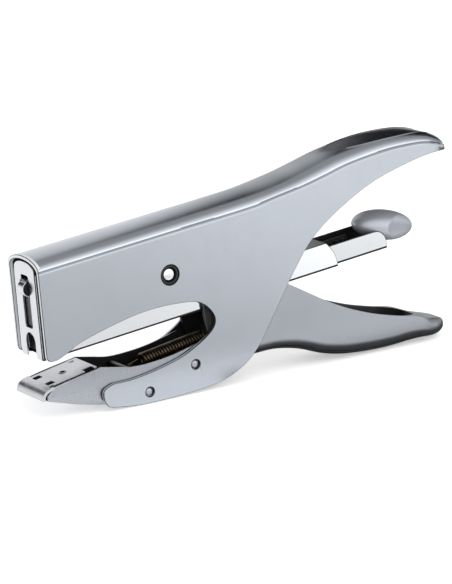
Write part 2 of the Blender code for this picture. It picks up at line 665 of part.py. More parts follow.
def staple_strip():
    """Half a strip of 24/6 staples, glued side by side."""
    crown, foot = CORE_TOP + GAP + STAPLE_WIRE, 0.25
    inner = STAPLE_HALF - STAPLE_WIRE
    outline = [(-STAPLE_HALF, foot), (-inner, foot), (-inner, crown - STAPLE_WIRE),
               (inner, crown - STAPLE_WIRE), (inner, foot), (STAPLE_HALF, foot),
               (STAPLE_HALF, crown), (-STAPLE_HALF, crown)]
    return cross_slab("staple_strip", outline, RAIL_FRONT, STRIP_END, drawer_axis, staple_steel)


def drawer_catch():
    """Small rocker in the rail's floor that holds the drawer shut."""
    x, z = CATCH_HINGE
    outline = [(140.4, -2.0), (143.9, -2.0), (144.2, 0.2), (144.2, 1.9), (140.0, 1.9),
               (140.0, 0.2)]
    rocker = side_slab("drawer_catch", outline, -2.6, 2.6, catch_axis, black_plastic)
    drill(rocker, x, z, 1.8, sides=12)
    pin("catch_pin", x, z, 1.2, -6.9, 6.9, drawer_axis, dark_steel, 12)


def pusher():
    """Follower behind the staples: it straddles the core and runs on the rod."""
    block = box("pusher", (STRIP_END + GAP, 40), (-6.3, 6.3), (0.3, 6.6), pusher_axis,
                black_plastic)
    for side in (-1, 1):
        boolean(block, box("core_clearance", (0, 60), sorted((side * 3.1, side * 5.7)),
                           (-5, CORE_TOP + GAP), pusher_axis))
    boolean(block, box("rod_underside", (0, 60), (-3.5, 3.5), (-5, 1.2), pusher_axis))
    bore = turned("pusher_bore", [(0, 20), (1.15, 20), (1.15, -20), (0, -20)],
                  (34, 0, ROD_HEIGHT), "X", pusher_axis, sides=12)
    return boolean(block, bore)


# ---- assembly --------------------------------------------------------------
def stand_on_table():
    """Tip the spine frame and put the assembly's bottom centre at the origin."""
    spine_frame.rotation_euler = (0.0, STAND_TILT, 0.0)
    bpy.context.view_layer.update()
    depsgraph = bpy.context.evaluated_depsgraph_get()
    corners = []
    for obj in parts.objects:
        if obj.type == "EMPTY":
            continue
        piece = obj.evaluated_get(depsgraph)
        mesh = piece.to_mesh()
        corners += [obj.matrix_world @ vertex.co for vertex in mesh.vertices]
        piece.to_mesh_clear()
    low = [min(corner[i] for corner in corners) for i in range(3)]
    high = [max(corner[i] for corner in corners) for i in range(3)]
    spine_frame.location = (-(low[0] + high[0]) / 2, 0.0, -low[2])
    bpy.context.view_layer.update()


for old in list(bpy.data.objects):
    bpy.data.objects.remove(old)
parts = collection(PART_COLLECTION)
cutters = collection("cutters")

shell_steel = material("shell_steel", (0.56, 0.58, 0.61), 0.34, 0.9)
grip_steel = material("grip_steel", (0.42, 0.45, 0.49), 0.36, 0.9)
arm_steel = material("arm_steel", (0.47, 0.49, 0.52), 0.36, 0.9)
bright_chrome = material("bright_chrome", (0.87, 0.88, 0.90), 0.08, 1.0)
dark_steel = material("dark_steel", (0.22, 0.22, 0.23), 0.35, 0.9)
staple_steel = material("staple_steel", (0.72, 0.72, 0.73), 0.25, 1.0)
spring_steel = material("spring_steel", (0.34, 0.27, 0.18), 0.32, 0.9)
black_plastic = material("black_plastic", (0.02, 0.02, 0.022), 0.42, 0.0)
grey_plastic = material("grey_plastic", (0.36, 0.36, 0.39), 0.42, 0.0)

spine_frame = axis_empty("spine_frame", 0.0, 0.0)
lever_axis = axis_empty("lever_axis", *PIVOT, spine_frame)
magazine_axis = axis_empty("magazine_axis", *MAGAZINE_HINGE, spine_frame)
driver_axis = axis_empty("driver_axis", lean_x(16, 1.4), 16.0, spine_frame)
drawer_axis = axis_empty("drawer_axis", RAIL_FRONT, 3.0, spine_frame)
catch_axis = axis_empty("catch_axis", *CATCH_HINGE, spine_frame)
pusher_axis = axis_empty("pusher_axis", STRIP_END, 3.0, spine_frame)

body_shell()
anvil_arm()
anvil_plate()
anvil_rivet()
frame_pins()
magazine_hanger()
lower_handle()
drive_arm()
magazine_channel()
front_plate()
driver_guide_plate()
magazine_lug()
driver_blade()
staple_rail()
rail_core()
guide_rod()
knob()
staple_strip()
drawer_catch()
pusher()
coil("return_spring", (SPRING_ANCHOR[0] + 2.2, SPRING_ANCHOR[1] + 0.1),
     (SPRING_HOOK[0] - 2.2, SPRING_HOOK[1] - 0.1), 2.4, 0.9, 15, spine_frame, spring_steel, 6.0)
coil("pusher_spring", (41.0, ROD_HEIGHT), (136.0, ROD_HEIGHT), 1.9, 0.5, 16, drawer_axis,
     spring_steel)
stand_on_table()
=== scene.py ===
import json
import math

import bmesh
import bpy
from mathutils import Matrix, Vector


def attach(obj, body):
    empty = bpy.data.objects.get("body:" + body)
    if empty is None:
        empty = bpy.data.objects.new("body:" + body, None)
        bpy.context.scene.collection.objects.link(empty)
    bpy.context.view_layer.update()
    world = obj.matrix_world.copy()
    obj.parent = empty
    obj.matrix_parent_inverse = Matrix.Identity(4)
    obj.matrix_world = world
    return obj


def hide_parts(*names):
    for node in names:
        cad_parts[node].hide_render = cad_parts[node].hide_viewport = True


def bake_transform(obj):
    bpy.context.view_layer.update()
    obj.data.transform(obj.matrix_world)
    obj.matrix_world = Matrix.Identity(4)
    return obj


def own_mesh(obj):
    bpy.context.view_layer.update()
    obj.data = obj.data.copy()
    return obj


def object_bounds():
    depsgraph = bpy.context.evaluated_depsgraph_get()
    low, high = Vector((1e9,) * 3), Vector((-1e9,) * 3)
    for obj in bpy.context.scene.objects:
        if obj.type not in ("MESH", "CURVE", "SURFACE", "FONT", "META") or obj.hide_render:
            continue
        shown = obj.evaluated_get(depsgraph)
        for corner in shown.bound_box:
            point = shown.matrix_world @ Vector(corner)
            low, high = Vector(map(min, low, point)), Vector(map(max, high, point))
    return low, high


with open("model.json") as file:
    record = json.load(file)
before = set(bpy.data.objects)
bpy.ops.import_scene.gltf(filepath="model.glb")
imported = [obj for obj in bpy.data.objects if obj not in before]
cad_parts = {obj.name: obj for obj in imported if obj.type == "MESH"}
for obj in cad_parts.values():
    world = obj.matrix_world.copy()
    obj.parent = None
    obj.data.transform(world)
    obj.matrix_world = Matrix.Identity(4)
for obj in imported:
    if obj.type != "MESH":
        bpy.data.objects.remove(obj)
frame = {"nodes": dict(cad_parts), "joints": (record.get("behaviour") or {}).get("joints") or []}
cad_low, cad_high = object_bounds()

# Looks of a plier stapler.  Shapes are drawn in the spine frame, in
# millimetres: X rearward along the spine, Z square to it, Y across, zero at
# the head's lower front corner.  TO_ROW carries them into the CAD's frame.
MM = 0.001
SPINE_TILT = math.radians(-6.1)
PIVOT = (53.1, 16.2)

SHELL_HALF = 11.0
SHELL_WALL = 1.3
LEVER_HALF = 9.4
LEVER_INNER = 8.2
MAGAZINE_HALF = 7.9
MAGAZINE_INNER = 7.2
RAIL_HALF = 7.05
RAIL_INNER = 6.5
STAPLE_HALF = 6.4
STAPLE_WIRE = 0.55
STAPLE_FOOT = 0.25
STAPLE_CROWN = 6.25
STRIP_FRONT = 2.7
STRIP_END = 29.0

SPRING_ANCHOR = (34.5, -15.6)
SPRING_HOOK = (77.0, -13.3)
ARM_PINS = ((38.2, -23.2), (58.1, -18.8))
ARM_FIXING = (60.0, 20.6)
HEAD_LEAN = math.radians(3.6)
HEAD_FOOT = 0.2
HEAD_NORMAL = (math.cos(HEAD_LEAN), 0, -math.sin(HEAD_LEAN))
MOUTH_DEPTH = 1.1
SLOT_HALF = 2.7
ROD_HEIGHT = 3.4

RAIL_FLOOR = -0.7
RAIL_TOP = 6.9
RAIL_FRONT = 2.6
CHANNEL_FLOOR = -1.3
CHANNEL_TOP = 8.7
# LIP: height of the band along the lower bend that takes near-black painted shade
LIP = 0.9

TIP_START = 169.0
TIP_END = 180.4
GRIP_END = 171.0

# the crease between side and spine, and the dished facet on the upper grip
CREASE_DEPTH = 0.22
CREASE_HALF = 0.5
ARCH_START = math.radians(5.0)
FACET_MIDDLE = 153.0
FACET_REACH = 24.0
FACET_HALF = 7.6
FACET_DISH = 0.55
FACET_RIM = 0.14
DIMPLE = (27.7, -21.2)

SPINE_TOP = [(-4, 35.5), (60, 35.5), (93, 35.7), (108, 36.9), (119, 38.6), (130, 40.4),
             (146, 41.5), (157, 41.0), (167.5, 39.1), (174.5, 36.0), (178.6, 32.8), (180.4, 28.6)]
SPINE_EDGE = [(-4, 31.2), (60, 31.2), (90, 31.2), (100, 32.1), (111, 33.0), (122, 34.5),
              (132, 36.1), (148, 36.9), (159, 36.4), (168, 35.1), (174.5, 32.4),
              (178.6, 30.2), (180.4, 28.6)]
HEAD_EDGE = [(2.3, 36.5), (0.2, 0.9), (0.6, -0.4), (1.8, -1.1), (4.4, -1.2)]
THROAT = [(4.4, -1.2), (9, 0.3), (14, 2.3), (28, 4.8), (41.6, 6.0), (54, 5.2), (63.6, 2.8),
          (68.5, -3.6), (66.2, -8.7), (55.4, -13.7), (43.8, -15.9), (32.6, -16.6),
          (24.4, -16.0)]
JAW_END = [(24.4, -16.0), (20.6, -17.2), (19.7, -20.0), (21.3, -23.7), (25.4, -25.1)]
BELLY = [(25.4, -25.1), (35, -27.0), (50, -28.2), (65, -28.4), (75.8, -25.9), (84.4, -20.4),
         (94.3, -8.6), (104.7, 4.2), (113, 12.6), (124.6, 19.7), (141.6, 26.5),
         (158.3, 29.7), (171, 30.6), (181, 28.4)]
ARM_TOP = [(-1.0, -13.3), (0.6, -12.2), (2.0, -11.0), (20.9, -9.3)]
ARM_TOP_REAR = [(21.1, -9.2), (27.3, -11.0), (34.2, -12.9), (43, -13.5), (50.8, -13.3),
                (58, -12.4), (63.5, -11.5)]
ARM_BOTTOM = [(-1.0, -15.5), (2.4, -17.1), (8.8, -19.8), (14.6, -21.8), (22, -24.0),
              (32, -25.6), (45, -26.4), (63.5, -26.4)]
ANVIL_REAR = (20.6, -9.0)
ANVIL_NOSE = [(2.2, -10.7), (-0.2, -11.1), (-2.0, -12.0), (-3.0, -13.3), (-3.2, -14.8)]
ANVIL_NOSE_INNER = [(-2.1, -14.9), (-1.9, -13.7), (-1.1, -12.7), (0.3, -12.1), (2.4, -11.8)]
LEVER_FRONT = [(62.6, 8.6), (65.2, 3.0), (65.6, -8.0), (68.5, -18.5), (76, -23.2)]
GRIP_UNDER = [(66, -23.2), (76, -23.2), (84.5, -24.1), (94.1, -24.9), (104.1, -27.7),
              (114.1, -32.4), (124.3, -35.5), (140.3, -37.9), (156.7, -38.6), (164, -39.4),
              (168.4, -39.0), (170.5, -37.9), (171.0, -36.7)]
GRIP_OVER = [(30, 32), (50, 28.5), (63.0, 24.5), (80, 13.4), (101.2, -0.9), (120.2, -14.3),
             (134.3, -21.8), (147.1, -26.7), (156.0, -29.4), (161.0, -31.9), (165.0, -33.3),
             (168.6, -34.6), (170.5, -35.7), (171.0, -36.6)]
LEVER_FLOOR = [(78.5, -21.6), (84.5, -22.6), (94.1, -23.5), (104.1, -26.5), (114.1, -31.0),
               (124.3, -34.1), (140.3, -36.5), (149.5, -36.6), (154.8, -35.0), (157.6, -30.5)]
GRIP_PLAN = [(40, 9.4), (90, 9.4), (98, 9.43), (106, 9.58), (114, 9.82), (122, 9.97),
             (130, 10.0), (157, 10.0)]
GRIP_CORNER = 5.0
DRIVE_TOP = [(0.6, 26.6), (8, 27.7), (30, 28.2), (46, 25.8), (56, 25.6)]
DRIVE_BOTTOM = [(45.5, 10.6), (34, 11.8), (20, 15.0), (9, 19.4), (0.6, 21.1)]

# camera, in the spine frame: its angles, its distance and where it aims; they
# were solved with the tool's width and length taken as known
CAMERA_YAW = math.radians(-29.93)
CAMERA_PITCH = math.radians(17.45)
CAMERA_ROLL = math.radians(-8.12)
CAMERA_DISTANCE = 1114.35
CAMERA_ASIDE = (67.69, 21.64)
CAMERA_LENS = 197.4

TURN = Matrix.Rotation(SPINE_TILT, 4, "Y")
PIVOT_ROW = Vector(next(j for j in frame["joints"] if j["name"] == "lever_squeeze")["pos_m"])
TO_ROW = (Matrix.Translation(PIVOT_ROW - TURN @ Vector((PIVOT[0] * MM, 0, PIVOT[1] * MM)))
          @ TURN @ Matrix.Scale(MM, 4))


# ---- curves and outlines ---------------------------------------------------
def smooth(points, steps=8):
    """Points on a Catmull-Rom curve through the given points, ends included."""
    line = []
    last = len(points) - 1
    for i in range(last):
        before = points[max(i - 1, 0)]
        start, end = points[i], points[i + 1]
        after = points[min(i + 2, last)]
        for step in range(steps):
            t = step / steps
            line.append(tuple(
                0.5 * (2 * b + (c - a) * t + (2 * a - 5 * b + 4 * c - d) * t ** 2
                       + (3 * b - a - 3 * c + d) * t ** 3)
                for a, b, c, d in zip(before, start, end, after)))
    line.append(points[-1])
    return line


def height(points, x):
    """Smooth height at x of a line given by points with rising x."""
    last = len(points) - 1
    i = max(k for k in range(last) if k == 0 or points[k][0] <= x)
    (x0, z0), (x1, z1) = points[i], points[i + 1]

    def slope(k):
        low, high = points[max(k - 1, 0)], points[min(k + 1, last)]
        return (high[1] - low[1]) / (high[0] - low[0])

    span = x1 - x0
    t = min(max((x - x0) / span, 0.0), 1.0)
    a, b = slope(i) * span, slope(i + 1) * span
    return (z0 * (2 * t ** 3 - 3 * t ** 2 + 1) + a * (t ** 3 - 2 * t ** 2 + t)
            + z1 * (3 * t ** 2 - 2 * t ** 3) + b * (t ** 3 - t ** 2))


def ease(low, high, value):
    """0 below low, 1 above high, smooth between."""
    t = min(max((value - low) / (high - low), 0.0), 1.0)
    return t * t * (3 - 2 * t)


def arc(centre, radius, start, end, steps):
    """Points on an arc, angles in degrees from +X towards +Z."""
    return [(centre[0] + radius * math.cos(math.radians(start + (end - start) * i / steps)),
             centre[1] + radius * math.sin(math.radians(start + (end - start) * i / steps)))
            for i in range(steps + 1)]


def rectangle(x0, x1, z0, z1):
    return [(x0, z0), (x1, z0), (x1, z1), (x0, z1)]


def lean_x(z, depth):
    """X of a point on the leaning head, depth behind the front face."""
    return HEAD_FOOT + depth * math.cos(HEAD_LEAN) + z * math.tan(HEAD_LEAN)


# ---- mesh helpers ----------------------------------------------------------
def new_object(mesh, name):
    obj = bpy.data.objects.new(name, mesh)
    bpy.context.scene.collection.objects.link(obj)
    return obj


def evaluated_mesh(obj):
    """The object's mesh with its modifiers applied; the object is removed."""
    depsgraph = bpy.context.evaluated_depsgraph_get()
    mesh = bpy.data.meshes.new_from_object(obj.evaluated_get(depsgraph))
    bpy.data.objects.remove(obj)
    return mesh


def clean(mesh, merge_flat=True, fill=False):
    work = bmesh.new()
    work.from_mesh(mesh)
    bmesh.ops.remove_doubles(work, verts=work.verts, dist=1e-4)
    if fill:
        bmesh.ops.holes_fill(work, edges=[edge for edge in work.edges if edge.is_boundary])
    if merge_flat:
        bmesh.ops.dissolve_limit(work, angle_limit=0.001, verts=work.verts, edges=work.edges)
    bmesh.ops.recalc_face_normals(work, faces=work.faces)
    work.to_mesh(mesh)
    work.free()
    return mesh


def slab(name, outline, low, high, plane="XZ"):
    """A flat outline made solid between two limits along the plane's normal."""
    curve = bpy.data.curves.new(name, "CURVE")
    curve.dimensions = "2D"
    curve.fill_mode = "BOTH"
    curve.extrude = (high - low) / 2
    spline = curve.splines.new("POLY")
    spline.points.add(len(outline) - 1)
    for point, (across, up) in zip(spline.points, outline):
        point.co = (across, up, 0.0, 1.0)
    spline.use_cyclic_u = True
    mesh = clean(evaluated_mesh(new_object(curve, name)))
    middle = (low + high) / 2
    upright = Matrix.Rotation(math.pi / 2, 4, "X")
    move = {"XZ": Matrix.Translation((0, middle, 0)) @ upright,
            "XY": Matrix.Translation((0, 0, middle)),
            "YZ": Matrix.Translation((middle, 0, 0)) @ Matrix.Rotation(math.pi / 2, 4, "Z")
            @ upright}[plane]
    mesh.transform(move)
    return new_object(mesh, name)


def head_slab(name, outline, depth, thickness):
    """An outline in Y and Z on the leaning head, depth behind its front face."""
    obj = slab(name, outline, depth, depth + thickness, "YZ")
    obj.data.transform(Matrix.Translation((HEAD_FOOT, 0, 0)) @ Matrix.Rotation(HEAD_LEAN, 4, "Y"))
    return obj


def box(name, x, y, z):
    return slab(name, rectangle(*x, *z), *y)


def turned(name, profile, position, axis="Y", sides=64):
    """A turned piece: (radius, level) pairs from its top end down to its bottom."""
    work = bmesh.new()
    verts = [work.verts.new((radius, 0.0, level)) for radius, level in profile]
    edges = [work.edges.new(pair) for pair in zip(verts, verts[1:])]
    bmesh.ops.spin(work, geom=verts + edges, axis=(0, 0, 1), cent=(0, 0, 0),
                   angle=math.tau, steps=sides, use_duplicate=False)
    mesh = bpy.data.meshes.new(name)
    work.to_mesh(mesh)
    work.free()
    clean(mesh, merge_flat=False)
    turn = {"Y": Matrix.Rotation(-math.pi / 2, 4, "X"), "X": Matrix.Rotation(math.pi / 2, 4, "Y"),
            "Z": Matrix.Identity(4)}[axis]
    mesh.transform(Matrix.Translation(position) @ turn)
    return new_object(mesh, name)


def rod(name, x, z, diameter, y0, y1, chamfer=0.0, sides=64):
    """A round pin along Y, its ends chamfered."""
    half, radius = (y1 - y0) / 2, diameter / 2
    profile = [(0, half), (radius - chamfer, half), (radius, half - chamfer),
               (radius, chamfer - half), (radius - chamfer, -half), (0, -half)]
    return turned(name, profile, (x, (y0 + y1) / 2, z), sides=sides)


def loft(name, rows, closed=False):
    """A surface through rows of points; closed rows make a capped solid."""
    width = len(rows[0])
    columns = [(c, (c + 1) % width) for c in range(width if closed else width - 1)]
    faces = [(r * width + a, r * width + b, (r + 1) * width + b, (r + 1) * width + a)
             for r in range(len(rows) - 1) for a, b in columns]
    mesh = bpy.data.meshes.new(name)
    mesh.from_pydata([point for row in rows for point in row], [], faces)
    clean(mesh, merge_flat=False, fill=closed)
    return new_object(mesh, name)


def cut(obj, tool, operation="DIFFERENCE"):
    """Boolean obj with tool, which is used up."""
    modifier = obj.modifiers.new(operation, "BOOLEAN")
    modifier.operation = operation
    modifier.solver = "EXACT"
    modifier.material_mode = "TRANSFER"
    modifier.object = tool
    name = obj.name
    mesh = evaluated_mesh(obj)
    bpy.data.objects.remove(tool)
    clean(mesh, merge_flat=False)
    return new_object(mesh, name)


def drill(obj, x, z, diameter, reach=20.0):
    return cut(obj, rod("drill", x, z, diameter, -reach, reach))


def soften(obj, width, segments=3, angle=32.0, finish=None):
    """Round every edge sharper than the angle, in a finish of its own if given."""
    bevel = obj.modifiers.new("edges", "BEVEL")
    bevel.width = width
    bevel.segments = segments
    bevel.limit_method = "ANGLE"
    bevel.angle_limit = math.radians(angle)
    bevel.miter_outer = "MITER_ARC"
    bevel.use_clamp_overlap = False
    if finish:
        obj.data.materials.append(finish)
        bevel.material = len(obj.data.materials) - 1
    name = obj.name
    return new_object(evaluated_mesh(obj), name)


def round_edges(obj, width, segments, chosen):
    """Round the lengthwise edges whose two ends both pass the chosen test."""
    weights = obj.data.attributes.new("bevel_weight_edge", "FLOAT", "EDGE")
    for edge in obj.data.edges:
        a, b = (obj.data.vertices[i].co for i in edge.vertices)
        lengthwise = abs(a.y - b.y) < 0.01
        weights.data[edge.index].value = float(lengthwise and chosen(a) and chosen(b))
    bevel = obj.modifiers.new("round", "BEVEL")
    bevel.limit_method = "WEIGHT"
    bevel.width = width
    bevel.segments = segments
    bevel.use_clamp_overlap = False
    name = obj.name
    return new_object(clean(evaluated_mesh(obj), merge_flat=False), name)


def finish_faces(obj, finish, chosen):
    """Give a finish to the faces whose middle passes the chosen test."""
    if obj.data.materials.find(finish.name) < 0:
        obj.data.materials.append(finish)
    index = obj.data.materials.find(finish.name)
    for face in obj.data.polygons:
        if chosen(face.center):
            face.material_index = index
    return obj


def split(obj, place, normal=(1, 0, 0)):
    """Divide a piece's faces along a plane."""
    work = bmesh.new()
    work.from_mesh(obj.data)
    everything = work.verts[:] + work.edges[:] + work.faces[:]
    bmesh.ops.bisect_plane(work, geom=everything, plane_co=place, plane_no=normal)
    work.to_mesh(obj.data)
    work.free()
    return obj


def sheet(obj, thickness):
    """Give an open surface its thickness; its second material goes inside."""
    solid = obj.modifiers.new("sheet", "SOLIDIFY")
    solid.thickness = thickness
    solid.offset = -1.0
    solid.use_even_offset = True
    solid.material_offset = 1
    name = obj.name
    return new_object(evaluated_mesh(obj), name)


def helix(name, start, end, radius, wire, turns, tail, per_turn=28, ring=12):
    """A round-wire coil between two points given as X and Z, with straight tails."""
    length = math.dist(start, end) - 2 * tail
    angle = math.atan2(end[1] - start[1], end[0] - start[0])
    count = turns * per_turn
    route = [(0.0, 0.0, 0.0)] if tail else []
    for i in range(count + 1):
        phase = math.tau * i / per_turn
        route.append((tail + length * i / count, radius * math.cos(phase),
                      radius * math.sin(phase)))
    if tail:
        route.append((length + 2 * tail, 0.0, 0.0))
    curve = bpy.data.curves.new(name, "CURVE")
    curve.dimensions = "3D"
    curve.bevel_depth = wire / 2
    curve.bevel_resolution = ring // 4
    curve.use_fill_caps = True
    spline = curve.splines.new("POLY")
    spline.points.add(len(route) - 1)
    for point, (along, across, up) in zip(spline.points, route):
        point.co = (start[0] + along * math.cos(angle) - up * math.sin(angle), across,
                    start[1] + along * math.sin(angle) + up * math.cos(angle), 1.0)
    mesh = clean(evaluated_mesh(new_object(curve, name)), merge_flat=False)
    return new_object(mesh, name)


def dress(obj, *finishes):
    """Give a piece its materials, the outside first."""
    obj.data.materials.clear()
    for finish in finishes:
        obj.data.materials.append(finish)
    return obj


def publish(obj, name, body, nodes=(), angle=30.0):
    """Move a drawn piece into the row frame, shade it and hang it on its body."""
    obj.data.transform(TO_ROW)
    obj.data.shade_smooth()
    obj.data.set_sharp_from_angle(angle=math.radians(angle))
    normals = obj.modifiers.new("normals", "WEIGHTED_NORMAL")
    normals.keep_sharp = True
    obj = new_object(evaluated_mesh(obj), name)
    if body:
        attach(obj, body)
    if nodes:
        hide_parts(*nodes)
    return obj


# ---- materials -------------------------------------------------------------
def node_material(name):
    made = bpy.data.materials.new(name)
    made.use_nodes = True
    tree = made.node_tree
    return made, tree, tree.nodes["Principled BSDF"]


def add(tree, kind, **values):
    node = tree.nodes.new(kind)
    for key, value in values.items():
        if key in node.inputs:
            node.inputs[key].default_value = value
        else:
            setattr(node, key, value)
    return node


def noise(tree, scale, detail=3.0):
    """Noise in the object's own space, in features per metre."""
    place = add(tree, "ShaderNodeTexCoord")
    texture = add(tree, "ShaderNodeTexNoise", Scale=scale, Detail=detail)
    tree.links.new(place.outputs["Object"], texture.inputs["Vector"])
    return texture.outputs["Fac"]


def ramp(tree, source, low, high):
    """Map a noise's middle range to low..high, for numbers or colours."""
    if isinstance(low, tuple):
        node = add(tree, "ShaderNodeValToRGB")
        node.color_ramp.elements[0].position = 0.3
        node.color_ramp.elements[1].position = 0.7
        node.color_ramp.elements[0].color = (*low, 1.0)
        node.color_ramp.elements[1].color = (*high, 1.0)
        tree.links.new(source, node.inputs["Fac"])
        return node.outputs["Color"]
    node = add(tree, "ShaderNodeMapRange")
    node.inputs["From Min"].default_value = 0.3
    node.inputs["From Max"].default_value = 0.7
    node.inputs["To Min"].default_value = low
    node.inputs["To Max"].default_value = high
    tree.links.new(source, node.inputs["Value"])
    return node.outputs["Result"]


def bump(tree, shader, source, strength, distance):
    node = add(tree, "ShaderNodeBump", Strength=strength, Distance=distance)
    tree.links.new(source, node.inputs["Height"])
    tree.links.new(node.outputs["Normal"], shader.inputs["Normal"])


def shade_of(colour, factor):
    return tuple(channel * factor for channel in colour)


def metal(name, colour, roughness, grain, spread=0.05, metallic=1.0, mottle=0.05,
          shine=0.5):
    """Plated or blasted metal: mottled colour, smudged gloss, fine surface grain."""
    made, tree, shader = node_material(name)
    shader.inputs["Metallic"].default_value = metallic
    shader.inputs["Specular IOR Level"].default_value = shine
    cloud = noise(tree, 60.0, 4.0)
    tree.links.new(ramp(tree, cloud, shade_of(colour, 1 - mottle), colour),
                   shader.inputs["Base Color"])
    smudge = noise(tree, 220.0, 5.0)
    tree.links.new(ramp(tree, smudge, roughness - spread, roughness + spread),
                   shader.inputs["Roughness"])
    bump(tree, shader, noise(tree, 9000.0, 2.0), grain, 0.00002)
    return made


def plastic(name, colour, roughness, grain, grain_scale=6000.0):
    """Moulded plastic with a fine spark-eroded grain."""
    made, tree, shader = node_material(name)
    tree.links.new(ramp(tree, noise(tree, 90.0, 4.0), shade_of(colour, 0.93), colour),
                   shader.inputs["Base Color"])
    tree.links.new(ramp(tree, noise(tree, 400.0, 4.0), roughness - 0.04, roughness + 0.05),
                   shader.inputs["Roughness"])
    bump(tree, shader, noise(tree, grain_scale, 3.0), grain, 0.00003)
    return made


SHELL = metal("satin_shell", (0.465, 0.495, 0.54), 0.23, 0.03, 0.02, mottle=0.03)
GRIP = metal("satin_grip", (0.385, 0.405, 0.44), 0.32, 0.03, 0.02, mottle=0.04)
ARM = metal("satin_arm", (0.39, 0.405, 0.44), 0.28, 0.02, 0.03, mottle=0.05)
CHROME = metal("mirror_chrome", (0.86, 0.88, 0.90), 0.07, 0.02, 0.03, mottle=0.02)
RAIL = metal("bright_rail", (0.66, 0.68, 0.70), 0.16, 0.03, 0.03, mottle=0.04)
PLATE = metal("bright_plate", (0.61, 0.62, 0.64), 0.24, 0.04, 0.04, mottle=0.05)
# near-black steel for the pins and inner parts
DARK = metal("oiled_steel", (0.10, 0.10, 0.105), 0.36, 0.3, 0.08, mottle=0.25)
# painted highlight: light near-matt finish on the mouth rim, standing in for its bright reflection
RIM_HIGHLIGHT = metal("painted_rim_highlight", (0.72, 0.75, 0.79), 0.5, 0.05, 0.05, metallic=0.15)
ANVIL = metal("worn_anvil", (0.56, 0.57, 0.60), 0.28, 0.04, 0.04, mottle=0.10)
# painted shade: darker grey in the crease between side and spine
SHADOW = metal("painted_crease_shade", (0.24, 0.25, 0.275), 0.4, 0.03, 0.03)
# painted shade: near-black on the rounded edges, drawing dark outline lines along them
EDGE = metal("painted_edge_shade", (0.08, 0.082, 0.09), 0.34, 0.05, 0.05, mottle=0.2)
# painted shade: near-black on inner faces, bores, pockets and lower lip bands, where shade falls
SHADE_INSIDE = metal("painted_shade_inside", (0.010, 0.010, 0.011), 0.5, 0.1, 0.06, metallic=0.0,
               mottle=0.3, shine=0.2)
# painted shade: dark grey inside the lower grip's well
WELL_SHADE = metal("painted_well_shade", (0.10, 0.10, 0.105), 0.4, 0.1, 0.06, mottle=0.15)
STAPLE = metal("staple_wire", (0.55, 0.55, 0.57), 0.24, 0.2, 0.05, mottle=0.1)
SPRING = metal("spring_wire", (0.085, 0.065, 0.042), 0.34, 0.3, 0.08, mottle=0.3)
BLACK = plastic("black_moulding", (0.006, 0.006, 0.007), 0.55, 0.25)
GREY = metal("grey_lacquer", (0.40, 0.415, 0.46), 0.36, 0.03, 0.03, metallic=0.4, mottle=0.05)


# ---- body shell ------------------------------------------------------------
def facet_half(x):
    """Half width of the dished facet on the upper grip at x."""
    past = (x - FACET_MIDDLE) / FACET_REACH
    return FACET_HALF * math.sqrt(max(1.0 - past * past, 0.0))


def shell_form(name, inset):
    """The pressing's outer form, or its hollow when inset by the sheet."""
    low = -45.0 - inset
    tip_end = TIP_END - inset
    outer = inset == 0.0
    fillet_steps, facet_steps = (18, 12) if outer else (8, 6)
    stations = [-4.0 - inset, 20.0, 40.0, 60.0, 74.0, 84.0]
    stations += [90.0 + 79.0 * i / 44 for i in range(44)]
    stations += [TIP_START + (tip_end - TIP_START) * math.sin(math.pi / 2 * i / 20)
                 for i in range(21)]
    rows = []
    for x in stations:
        past = max(x - TIP_START, 0.0) / (tip_end - TIP_START)
        half = (SHELL_HALF - inset) * math.sqrt(max(1.0 - past ** 2, 0.0))
        edge, crown = height(SPINE_EDGE, x) - inset / 2, height(SPINE_TOP, x) - inset
        lens = min(facet_half(x), 0.92 * half) if outer else 0.0
        border = math.acos(max(lens, 0.4 * half) / half) if half > 0.01 else math.pi / 3
        first = ARCH_START if outer else 0.0
        angles = [first + (border - first) * i / fillet_steps for i in range(fillet_steps)]
        angles += [border + (math.pi / 2 - border) * i / facet_steps
                   for i in range(facet_steps + 1)]
        side = [(half, low)]
        if outer:
            fade = (crown - edge) / (SPINE_TOP[0][1] - SPINE_EDGE[0][1])
            dent = CREASE_DEPTH * min(fade, half / SHELL_HALF)
            side += [(half, edge - 1.2 * fade), (half, edge - CREASE_HALF * fade),
                     (half - dent, edge - 0.08 * fade), (half - dent, edge + 0.08 * fade)]
        arch = []
        for angle in angles:
            y = half * math.cos(angle)
            z = edge + (crown - edge) * math.sin(angle)
            if lens > 0.3 and y < lens:
                z -= FACET_DISH * (1 - (y / lens) ** 2) * (lens / FACET_HALF)
            if lens > 2.0 and abs(y - lens) < 0.02:
                z += FACET_RIM
            arch.append((y, z))
        right = side + arch
        left = [(-y, z) for y, z in reversed(right[:-1])]
        rows.append([(x, y, z) for y, z in right + left])
    return loft(name, rows, closed=True)


